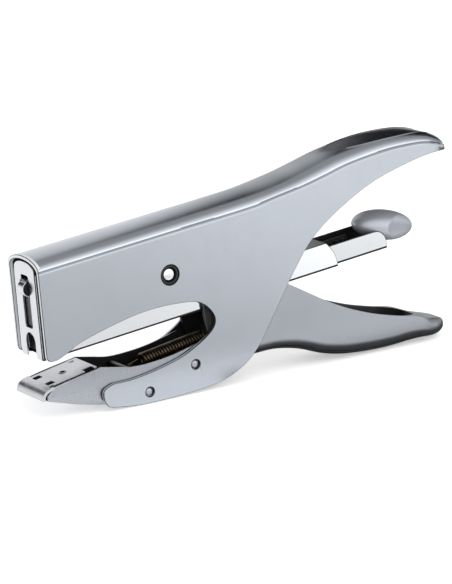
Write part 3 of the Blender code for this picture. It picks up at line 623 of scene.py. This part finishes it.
def body_shell():
    # the shell's inner faces take the near-black painted shade
    shell = cut(dress(shell_form("body_shell", 0.0), SHELL),
                dress(shell_form("shell_hollow", SHELL_WALL), SHADE_INSIDE))
    outline = (HEAD_EDGE[:1] + smooth(HEAD_EDGE[1:])[:-1] + smooth(THROAT)[:-1]
               + smooth(JAW_END)[:-1] + smooth(BELLY) + [(185, 60), (3.7, 60)])
    shell = cut(shell, slab("shell_outline", outline, -14, 14), "INTERSECT")
    shell = drill(shell, *PIVOT, 7.4)
    for x, z in ARM_PINS:
        shell = drill(shell, x, z, 3.6)
    for side in (-1, 1):
        dimple = turned("dimple", [(0, 0.5), (1.0, 0.42), (1.6, 0.18), (1.9, -0.2), (0, -0.2)],
                        (*DIMPLE, 0))
        dimple.data.transform(Matrix.Translation((DIMPLE[0], side * SHELL_HALF, DIMPLE[1]))
                              @ Matrix.Rotation(side * math.pi / 2, 4, "X")
                              @ Matrix.Translation((-DIMPLE[0], 0, 0)))
        shell = cut(shell, dimple)
    shell = split(shell, (lean_x(0, MOUTH_DEPTH), 0, 0), HEAD_NORMAL)
    # the mouth rim takes the painted highlight
    shell = finish_faces(shell, RIM_HIGHLIGHT, lambda middle: abs(middle.y) < 10.5
                         and middle.x < lean_x(middle.z, MOUTH_DEPTH))
    shell = finish_faces(shell, PLATE, lambda middle: middle.x < lean_x(middle.z, 0.03)
                         and middle.z > 0)
    # the crease faces take the darker painted shade
    shell = finish_faces(shell, SHADOW, lambda middle: abs(middle.y) > 10.6 and abs(
        middle.z - height(SPINE_EDGE, middle.x)) < CREASE_HALF)
    # rounded edges take the near-black painted shade
    shell = soften(shell, 0.22, 2, 50, EDGE)
    publish(shell, "shell_pressing", "frame", ["body_shell"], 28)


# ---- anvil arm and anvil ---------------------------------------------------
def anvil_arm():
    """U-channel, its bottom corners well rounded."""
    stations = [-1.0 + 0.5 * i for i in range(44)] + [21.1 + 1.06 * i for i in range(41)]
    rows = []
    for x in stations:
        top = height(ARM_TOP if x < 21 else ARM_TOP_REAR, x)
        bottom = height(ARM_BOTTOM, x)
        depth = top - bottom
        corner = min(3.2, 0.4 * depth)
        inset = LEVER_HALF - corner
        wall = [(LEVER_HALF, top + (bottom + corner - top) * i / 6) for i in range(7)]
        right = wall[:-1] + [(inset + corner * math.cos(math.radians(90 * i / 8)),
                              bottom + corner - corner * math.sin(math.radians(90 * i / 8)))
                             for i in range(9)]
        section = [(-y, z) for y, z in right] + list(reversed(right))
        rows.append([(x, y, z) for y, z in section])
    # the channel's inner faces take the near-black painted shade
    arm = sheet(dress(loft("anvil_arm", rows), ARM, SHADE_INSIDE), 0.6)
    for x, z in ARM_PINS:
        arm = drill(arm, x, z, 3.6)
    publish(soften(arm, 0.12, 2, 50), "anvil_channel", "frame", ["anvil_arm"])


def anvil_plate():
    """Clinching plate, its pockets, holes and the wrapped nose."""
    rise = (ANVIL_REAR[1] - ANVIL_NOSE[0][1]) / (ANVIL_REAR[0] - ANVIL_NOSE[0][0])
    slope = math.atan(rise)
    outline = ([ANVIL_REAR] + smooth(ANVIL_NOSE) + smooth(ANVIL_NOSE_INNER)
               + [(ANVIL_REAR[0], ANVIL_REAR[1] - 1.1)])
    plate = dress(slab("anvil_plate", outline, -9.5, 9.5), ANVIL)
    for side in (-1, 1):
        shoulder = slab("shoulder", rectangle(2.0, 30, *sorted((side * 7.6, side * 14))),
                        -20, 0, "XY")
        plate = cut(plate, shoulder)
        pocket = slab("pocket", rectangle(1.6, 4.5, *sorted((side * 3.2, side * 5.9))),
                      -0.55, 0.55, "XY")
        pocket = soften(pocket, 0.5, 4)
        pocket.data.transform(Matrix.Translation((0, 0, -10.9)) @ Matrix.Rotation(-slope, 4, "Y"))
        # the pocket's faces take the near-black painted shade
        plate = cut(plate, dress(pocket, SHADE_INSIDE))
    # window and relief faces take the near-black painted shade
    window = slab("window", rectangle(15.8, 19.4, -8.4, -5.2), -14, -6, "XY")
    plate = cut(plate, dress(window, SHADE_INSIDE))
    relief = slab("relief", rectangle(1.0, 2.8, -8.4, -7.1), -14, -6, "XY")
    plate = cut(plate, dress(relief, SHADE_INSIDE))
    boss = turned("boss", [(0, 0.4), (0.7, 0.32), (1.3, 0.1), (1.6, -0.3), (0, -0.3)],
                  (18.0, 6.2, -9.3), "Z", 40)
    plate = cut(plate, dress(boss, ANVIL), "UNION")
    hole = turned("hole", [(0, 4), (1.4, 4), (1.4, -4), (0, -4)], (10.8, 0, -10), "Z")
    plate = cut(plate, hole)
    publish(soften(plate, 0.16, 3, 35), "clinch_plate", "frame",
            ["anvil_plate"])
    rivet = turned("rivet", [(0.9, 0.10), (1.05, 0.25), (1.25, 0.25), (1.38, 0.1), (1.38, 0.0),
                             (1.1, 0.0), (1.1, -1.9), (0.9, -1.9), (0.9, 0.10)],
                   (10.8, 0, -10.0), "Z")
    # the rivet's bore takes the near-black painted shade
    rivet = finish_faces(dress(rivet, ANVIL), SHADE_INSIDE,
                         lambda middle: math.hypot(middle.x - 10.8, middle.y) < 1.1)
    publish(rivet, "clinch_rivet", "frame", ["anvil_rivet"])


def frame_pins():
    half_head = [(0, 10.75), (0.7, 10.7), (1.1, 10.55), (1.32, 10.3), (1.35, 9.75),
                 (1.2, 9.75)]
    profile = half_head + [(radius, -level) for radius, level in reversed(half_head)]
    for name, (x, z) in zip(("arm_rivet_front", "arm_rivet_rear"), ARM_PINS):
        rivet = turned(name, profile, (x, 0, z))
        publish(dress(rivet, ARM), f"{name}_set", "frame", [name])
    anchor = rod("anchor", *SPRING_ANCHOR, 2.6, -9.0, 9.0, 0.2)
    publish(dress(anchor, DARK), "spring_anchor", "frame", ["spring_anchor_pin"])
    half_pin = [(0, 10.75), (0.9, 10.7), (1.7, 10.5), (2.2, 10.2), (2.5, 9.8)]
    pin = turned("pin", half_pin + [(radius, -level) for radius, level in reversed(half_pin)],
                 (PIVOT[0], 0, PIVOT[1]))
    publish(dress(pin, CHROME), "pivot_axle", "frame", ["pivot_pin"])
    for name, side in (("pivot_bush_left", 1), ("pivot_bush_right", -1)):
        half = 0.5
        profile = [(2.8, half), (3.3, half), (3.5, half - 0.2), (3.5, 0.2 - half), (3.3, -half),
                   (2.8, -half), (2.8, half)]
        ring = turned(name, profile, (PIVOT[0], side * 10.3, PIVOT[1]))
        publish(dress(ring, BLACK), f"{name}_ring", "frame", [name])


# ---- lever -----------------------------------------------------------------
def grip_corner(y, z, radius, turn, steps=8):
    """Points round one corner of a grip section, its centre inset by the radius."""
    return [(y * (1 - radius / max(abs(y), 1e-6)) + radius * math.cos(turn + math.pi / 2 * i / steps),
             z + radius * math.sin(turn + math.pi / 2 * i / steps)) for i in range(steps + 1)]


def grip_form():
    """The grip's outer form: round underneath and all round its closed end."""
    last_x = GRIP_PLAN[-1][0]
    stations = [30.0, 50.0, 62.0, 66.0, 70.0, 73.0] + [75.0 + 2.0 * i for i in range(44)]
    stations += [163.0 + (GRIP_END - 163.0) * math.sin(math.pi / 2 * i / 18) for i in range(19)]
    rows = []
    for x in stations:
        past = max(x - last_x, 0.0) / (GRIP_END - last_x)
        half = height(GRIP_PLAN, min(x, last_x)) * math.sqrt(max(1.0 - past ** 2, 0.0)) + 0.01
        low, high = height(GRIP_UNDER, x), height(GRIP_OVER, x)
        limit = min(0.98 * half, 0.48 * (high - low))
        below = min(0.05 + (GRIP_CORNER - 0.05) * ease(68, 84, x), limit)
        above = min(0.05 + (GRIP_CORNER - 0.05) * ease(156, 165, x), limit)
        section = (grip_corner(half, high - above, above, 0.0)
                   + grip_corner(-half, high - above, above, math.pi / 2)
                   + grip_corner(-half, low + below, below, math.pi)
                   + grip_corner(half, low + below, below, 1.5 * math.pi))
        rows.append([(x, y, z) for y, z in section])
    return loft("grip_form", rows, closed=True)


def lower_handle():
    """Lower grip: rounded underneath, hollow above, closed round end."""
    ear = arc(PIVOT, 10.6, 45, 312, 48)
    outline = ear + smooth(LEVER_FRONT) + [(76.2, -60), (190, -60), (190, 60), (63.0, 24.5)]
    handle = cut(dress(slab("lower_handle", outline, -11, 11), GRIP), dress(grip_form(), GRIP),
                 "INTERSECT")
    hollow = [(30, 60), (30, -60), (78.5, -60)] + smooth(LEVER_FLOOR, 6) + [(158.4, 60)]
    well = slab("well", hollow, -20, 20)
    well_plan = [(20, LEVER_INNER), (106, LEVER_INNER), (116, 8.8), (147, 8.8)]
    well = cut(well, plan_form("well_plan", well_plan, 158.2), "INTERSECT")
    # the well's faces take the dark grey painted shade
    handle = cut(handle, dress(well, WELL_SHADE))
    # the grip's front, inside the shell, takes the near-black painted shade
    handle = finish_faces(split(handle, (73, 0, 0)), SHADE_INSIDE, lambda middle: middle.x < 73.0)
    for x, z, diameter in ((*PIVOT, 5.6), (*ARM_FIXING, 3.6), (*SPRING_HOOK, 3.2)):
        handle = drill(handle, x, z, diameter)
    # rounded edges take the near-black painted shade
    publish(soften(handle, 0.25, 3, 42, EDGE), "lower_grip", "lever",
            ["lower_handle"], 28)


def plan_form(name, half_plan, end):
    """A tall block with the given half width along X and a rounded rear end."""
    last_x, last_half = half_plan[-1]
    side = smooth(half_plan, 6)[:-1]
    side += [(last_x + (end - last_x) * math.sin(math.pi / 2 * i / 16),
              last_half * math.cos(math.pi / 2 * i / 16)) for i in range(17)]
    right = [(x, -y) for x, y in side[:-1]]
    outline = right + [(end, 0.0)] + [(x, -y) for x, y in reversed(right)]
    return slab(name, outline, -61, 61, "XY")


def drive_arm():
    boss = arc(PIVOT, 6.6, -55, -125, 14)
    fixing = arc(ARM_FIXING, 4.2, 80, -60, 14)
    nose = arc((2.4, 23.8), 2.8, 250, 110, 16)
    outline = smooth(DRIVE_TOP) + fixing + boss + smooth(DRIVE_BOTTOM, 6)[:-1] + nose
    arm = dress(slab("drive_arm", outline, -2.1, 2.1), PLATE)
    arm = drill(drill(arm, *PIVOT, 5.6), *ARM_FIXING, 3.6)
    arm = finish_faces(soften(arm, 0.3, 3, 40), SHADE_INSIDE, lambda middle: abs(middle.y) > 2.05)
    publish(arm, "drive_rocker", "lever", ["drive_arm"])


# ---- magazine --------------------------------------------------------------
def magazine_channel():
    """Mirror channel with rounded lower edges and two tall cheeks at the head."""
    top, wall_depth = 29.8, 0.35
    front = [(lean_x(top, wall_depth), top), (lean_x(CHANNEL_FLOOR, wall_depth), CHANNEL_FLOOR)]
    rear = smooth([(124.7, CHANNEL_FLOOR), (124.3, 2.2), (123.0, 5.6), (120.7, CHANNEL_TOP)])
    cheek = arc((12.4, 11.3), 2.6, 270, 180, 8) + [(9.8, top)]
    channel = dress(slab("channel", front + rear + cheek, -MAGAZINE_HALF, MAGAZINE_HALF), CHROME)
    channel = round_edges(channel, 0.9, 6, lambda point: point.z < CHANNEL_FLOOR + 0.01)
    inner = (-MAGAZINE_INNER, MAGAZINE_INNER)
    spaces = [box("rail_space", (-9, 140), inner, (-0.9, 8.0)),
              box("floor_slot", (-9, 140), (-6.2, 6.2), (-9, 0)),
              box("head_space", (-9, 13.4), inner, (CHANNEL_TOP - 0.25, 50)),
              box("driver_space", (-10, lean_x(CHANNEL_TOP, 2.2)), (-7.1, 7.1), (-10, 51))]
    # the channel's inner faces take the near-black painted shade
    for space in spaces:
        channel = cut(channel, dress(space, SHADE_INSIDE))
    # the lower lip band and the top edges rear of x 40 take near-black painted shade
    channel = split(channel, (0, 0, CHANNEL_FLOOR + LIP), (0, 0, 1))
    channel = finish_faces(channel, SHADE_INSIDE, lambda middle: middle.z < CHANNEL_FLOOR + LIP
                           or (middle.z > CHANNEL_TOP - 0.1 and middle.x > 40))
    # rounded edges take the near-black painted shade
    publish(soften(channel, 0.25, 3, 40, EDGE), "magazine_shell", "magazine",
            ["magazine_channel"], 28)


def front_plate():
    """Head plate with the nose slot, the arched notch and an arched top."""
    half = 6.95
    crown = [(half * math.cos(math.pi * i / 24), 30.6 + 2.9 * math.sin(math.pi * i / 24))
             for i in range(25)]
    notch = [(-3.4, -1.1)] + arc((0, 4.4), 3.4, 180, 0, 24) + [(3.4, -1.1)]
    plate = dress(head_slab("plate", [(-half, -1.1)] + notch + [(half, -1.1)] + crown, 0, 0.8),
                  PLATE)
    corner = 1.0
    low, high, side = 9.6, 28.6, SLOT_HALF - corner
    slot = (arc((-side, low + corner), corner, 180, 270, 5)
            + arc((side, low + corner), corner, 270, 360, 5)
            + arc((side, high - corner), corner, 0, 90, 5)
            + arc((-side, high - corner), corner, 90, 180, 5))
    plate = cut(plate, head_slab("slot", slot, -2, 5))
    publish(soften(plate, 0.18, 4, 40), "head_plate", "magazine",
            ["front_plate"])


# ---- drawer ----------------------------------------------------------------
def rail_outline(grow):
    corner = smooth([(147.5 + grow, 1.4), (146.6 + grow, 4.5), (144.4 + grow / 2, 6.5 + grow),
                     (141.5, RAIL_TOP + grow)])
    return ([(RAIL_FRONT, RAIL_FLOOR - grow), (147.4 + grow, RAIL_FLOOR - grow)] + corner
            + [(RAIL_FRONT, RAIL_TOP + grow)])


def staple_rail():
    rail = dress(slab("rail", rail_outline(0.0), -RAIL_HALF, RAIL_HALF), RAIL)
    rail = round_edges(rail, 0.55, 5, lambda point: point.z < RAIL_FLOOR + 0.01)
    # the lower lip band takes near-black painted shade
    rail = split(rail, (0, 0, RAIL_FLOOR + LIP), (0, 0, 1))
    rail = finish_faces(rail, SHADE_INSIDE, lambda middle: middle.z < RAIL_FLOOR + LIP)
    # the rail's hollow takes near-black painted shade
    hollow = box("hollow", (0, 160), (-RAIL_INNER, RAIL_INNER), (RAIL_FLOOR + 0.6, 20))
    rail = cut(rail, dress(hollow, SHADE_INSIDE))
    rail = cut(rail, box("window", (139.6, 144.6), (-3.0, 3.0), (-5, 2)))
    # rounded edges take the near-black painted shade
    publish(soften(rail, 0.25, 3, 40, EDGE), "drawer_rail", "drawer",
            ["staple_rail"])


def rail_core():
    """Black core in the rail, grooved along its top for the guide rod."""
    core = dress(box("core", (3.0, 137.2), (-5.4, 5.4), (0.2, 5.4)), BLACK)
    core = cut(core, box("groove", (6.0, 160), (-3.4, 3.4), (0.9, 20)))
    publish(soften(core, 0.2, 2, 40), "core_moulding", "drawer",
            ["rail_core"])


def knob():
    """Grey pebble with a finger scallop on the rear half of each side."""
    work = bmesh.new()
    bmesh.ops.create_uvsphere(work, u_segments=160, v_segments=96, radius=1.0)
    mesh = bpy.data.meshes.new("knob")
    work.to_mesh(mesh)
    work.free()
    for vertex in mesh.vertices:
        x, y, z = vertex.co
        reach = max(1.0 - ((x - 0.82) / 1.05) ** 2 - (z / 0.98) ** 2, 0.0)
        vertex.co.y = y * (1.0 - 0.36 * reach ** 0.75)
    mesh.transform(Matrix.Translation((151.0, 0, 6.1)) @ Matrix.Rotation(math.radians(17), 4, "Y")
                   @ Matrix.Diagonal((12.9, 8.4, 5.6, 1)))
    pebble = dress(new_object(mesh, "knob"), GREY)
    for side in (-1, 1):
        pebble = cut(pebble, slab("wall", rail_outline(0.12), *sorted((side * 6.38, side * 14))))
    pebble = cut(pebble, box("below", (120, 147.8), (-14, 14), (-20, 2.4)))
    publish(pebble, "drawer_knob", "drawer", ["knob"], 50)


def staple_strip():
    """A glued strip: one bent wire after another."""
    count = int((STRIP_END - STRIP_FRONT) / STAPLE_WIRE)
    inner = STAPLE_HALF - STAPLE_WIRE
    outline = [(-STAPLE_HALF, STAPLE_FOOT), (-inner, STAPLE_FOOT), (-inner, STAPLE_CROWN - STAPLE_WIRE),
               (inner, STAPLE_CROWN - STAPLE_WIRE), (inner, STAPLE_FOOT), (STAPLE_HALF, STAPLE_FOOT),
               (STAPLE_HALF, STAPLE_CROWN), (-STAPLE_HALF, STAPLE_CROWN)]
    work = bmesh.new()
    for i in range(count):
        front = STRIP_FRONT + STAPLE_WIRE * i
        wire = slab("wire", outline, front, front + STAPLE_WIRE * 0.96, "YZ")
        wire = soften(wire, 0.12, 2, 40)
        work.from_mesh(wire.data)
        bpy.data.objects.remove(wire)
    mesh = bpy.data.meshes.new("strip")
    work.to_mesh(mesh)
    work.free()
    strip = dress(new_object(mesh, "strip"), STAPLE)
    publish(strip, "staples", "drawer", ["staple_strip"])


# ---- springs ---------------------------------------------------------------
def springs():
    start = (SPRING_ANCHOR[0] + 2.2, SPRING_ANCHOR[1] + 0.1)
    end = (SPRING_HOOK[0] - 2.2, SPRING_HOOK[1] - 0.1)
    coil = helix("return_spring", start, end, 2.4, 0.9, 22, 6.0)
    coil = publish(dress(coil, SPRING), "return_coil", None, ["return_spring"])
    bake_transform(coil)
    coil = helix("pusher_spring", (41.0, ROD_HEIGHT), (136.0, ROD_HEIGHT), 1.9, 0.5, 30, 0.0, 20, 8)
    coil = publish(dress(coil, SPRING), "pusher_coil", "drawer",
                   ["pusher_spring"])
    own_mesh(coil)


def finish_cad_nodes():
    """Give the CAD nodes that stay their own materials."""
    finishes = {
        "magazine_hanger": DARK, "magazine_hinge_pin": DARK,
        "drive_arm_rivet": DARK, "spring_hook_pin": DARK, "pivot_spacer_left": DARK,
        "pivot_spacer_right": DARK, "driver_guide_plate": DARK, "magazine_lug": DARK,
        "driver_blade": DARK, "guide_rod": DARK, "catch_pin": DARK, "drawer_catch": BLACK,
        "pusher": BLACK,
    }
    for name, finish in finishes.items():
        node = frame["nodes"][name]
        for material_slot in node.material_slots:
            material_slot.material = finish


# ---- studio ----------------------------------------------------------------
def camera():
    """The viewpoint solved from the photograph, set out in the spine frame."""
    sin_yaw, cos_yaw = math.sin(CAMERA_YAW), math.cos(CAMERA_YAW)
    sin_pitch, cos_pitch = math.sin(CAMERA_PITCH), math.cos(CAMERA_PITCH)
    back = Vector((sin_yaw * cos_pitch, -cos_yaw * cos_pitch, sin_pitch))
    level = Vector((cos_yaw, sin_yaw, 0.0))
    upright = back.cross(level)
    right = math.cos(CAMERA_ROLL) * level + math.sin(CAMERA_ROLL) * upright
    up = back.cross(right)
    place = back * CAMERA_DISTANCE + right * CAMERA_ASIDE[0] + up * CAMERA_ASIDE[1]
    turn = Matrix((right, up, back)).transposed().to_4x4()
    data = bpy.data.cameras.new("camera")
    data.lens = CAMERA_LENS
    data.sensor_width = 36.0
    data.sensor_fit = "AUTO"
    data.clip_start = 0.05
    data.clip_end = 20.0
    eye = bpy.data.objects.new("camera", data)
    bpy.context.scene.collection.objects.link(eye)
    eye.matrix_world = Matrix.Translation(TO_ROW @ place) @ TURN @ turn
    bpy.context.scene.camera = eye


def area_light(name, place, target, size, power):
    data = bpy.data.lights.new(name, "AREA")
    data.shape = "RECTANGLE"
    data.size, data.size_y = size
    data.energy = power
    lamp = bpy.data.objects.new(name, data)
    bpy.context.scene.collection.objects.link(lamp)
    lamp.location = place
    aim = Vector(target) - Vector(place)
    lamp.rotation_euler = aim.to_track_quat("-Z", "Y").to_euler()


def reflection_card(name, corner, along, up, feather, level=0.004):
    """A matt card with soft edges that only reflections see."""
    mesh = bpy.data.meshes.new(name)
    corner, along, up = Vector(corner), Vector(along), Vector(up)
    mesh.from_pydata([(-1, -1, 0), (1, -1, 0), (1, 1, 0), (-1, 1, 0)], [], [(0, 1, 2, 3)])
    card = new_object(mesh, name)
    turn = Matrix((along / 2, up / 2, along.cross(up).normalized())).transposed().to_4x4()
    card.matrix_world = Matrix.Translation(corner + (along + up) / 2) @ turn
    card.visible_camera = False
    card.visible_diffuse = False
    card.visible_shadow = False
    made, tree, shader = node_material(f"{name}_matt")
    shader.inputs["Roughness"].default_value = 1.0
    shader.inputs["Specular IOR Level"].default_value = 0.0
    shader.inputs["Base Color"].default_value = (level, level, level, 1.0)
    place = add(tree, "ShaderNodeTexCoord")
    parts = add(tree, "ShaderNodeSeparateXYZ")
    tree.links.new(place.outputs["Object"], parts.inputs["Vector"])
    cover = None
    for axis, soft in zip("XY", feather):
        size = add(tree, "ShaderNodeMath", operation="ABSOLUTE")
        tree.links.new(parts.outputs[axis], size.inputs[0])
        edge = add(tree, "ShaderNodeMapRange", interpolation_type="SMOOTHSTEP")
        edge.inputs["From Min"].default_value = 1.0 - soft
        edge.inputs["From Max"].default_value = 1.0
        edge.inputs["To Min"].default_value = 1.0
        edge.inputs["To Max"].default_value = 0.0
        tree.links.new(size.outputs["Value"], edge.inputs["Value"])
        if cover:
            both = add(tree, "ShaderNodeMath", operation="MULTIPLY")
            tree.links.new(cover, both.inputs[0])
            tree.links.new(edge.outputs["Result"], both.inputs[1])
            cover = both.outputs["Value"]
        else:
            cover = edge.outputs["Result"]
    tree.links.new(cover, shader.inputs["Alpha"])
    mesh.materials.append(made)


def sky():
    """Soft white surround, brightest in front and dimmest just behind overhead."""
    world = bpy.data.worlds.new("studio")
    bpy.context.scene.world = world
    world.use_nodes = True
    tree = world.node_tree
    place = add(tree, "ShaderNodeTexCoord")
    parts = add(tree, "ShaderNodeSeparateXYZ")
    tree.links.new(place.outputs["Generated"], parts.inputs["Vector"])
    across = add(tree, "ShaderNodeMapRange")
    across.inputs["From Min"].default_value = -1.0
    tree.links.new(parts.outputs["Y"], across.inputs["Value"])
    bands = add(tree, "ShaderNodeValToRGB")
    tree.links.new(across.outputs["Result"], bands.inputs["Fac"])
    levels = [(0.0, 1.45), (0.09, 1.70), (0.17, 1.60), (0.28, 1.20), (0.42, 0.80), (0.53, 0.50),
              (0.62, 0.45), (0.74, 0.55), (0.84, 0.90), (1.0, 1.20)]
    stops = bands.color_ramp.elements
    for (position, level), stop in zip(levels, stops):
        stop.position = position
    for position, level in levels[2:]:
        stops.new(position)
    stops[1].position = levels[1][0]
    for (position, level), stop in zip(levels, stops):
        stop.position = position
        stop.color = (level, level, level, 1.0)
    tree.links.new(bands.outputs["Color"], tree.nodes["Background"].inputs["Color"])


def studio():
    """Pale floor, soft surround and cards for the metal to reflect."""
    bpy.context.scene.view_settings.view_transform = "Standard"
    sky()
    mesh = bpy.data.meshes.new("floor")
    work = bmesh.new()
    bmesh.ops.create_grid(work, x_segments=1, y_segments=1, size=4.0)
    work.to_mesh(mesh)
    work.free()
    floor = new_object(mesh, "floor")
    floor.location.z = cad_low[2] - 0.0003
    made, _, shader = node_material("pale_floor")
    shader.inputs["Base Color"].default_value = (0.93, 0.93, 0.93, 1.0)
    shader.inputs["Roughness"].default_value = 0.9
    shader.inputs["Specular IOR Level"].default_value = 0.1
    shader.inputs["Emission Color"].default_value = (1.0, 1.0, 1.0, 1.0)
    shader.inputs["Emission Strength"].default_value = 0.42
    mesh.materials.append(made)
    reflection_card("rear_card", (0.09, 0.30, 0.055), (0.61, 0, 0), (0, 0, 0.63), (0.5, 0.2))
    reflection_card("left_card", (-0.30, 0.30, 0.09), (0.20, 0, 0), (0, 0, 0.22), (0.3, 0.3))
    # floor_card: dark sheet under the grip, seen only in reflections, standing in for the shade beneath
    # it
    reflection_card("floor_card", (-0.014, -0.033, 0.0002), (0.60, 0, 0), (0, 0.37, 0),
                    (0.04, 0.10), 0.10)
    reflection_card("front_card", (-0.24, -0.34, 0.0003), (0.44, 0, 0), (0, 0.31, 0),
                    (0.95, 0.2), 0.95)
    reflection_card("right_card", (0.15, -0.12, 0.0002), (0.45, 0, 0), (0, 0.10, 0), (0.1, 0.2))
    area_light("key", (0.75, -1.15, 0.70), (0.05, 0.0, 0.03), (1.4, 0.7), 1.2)


body_shell()
anvil_arm()
anvil_plate()
frame_pins()
lower_handle()
drive_arm()
magazine_channel()
front_plate()
staple_rail()
rail_core()
knob()
staple_strip()
springs()
finish_cad_nodes()
camera()
studio()
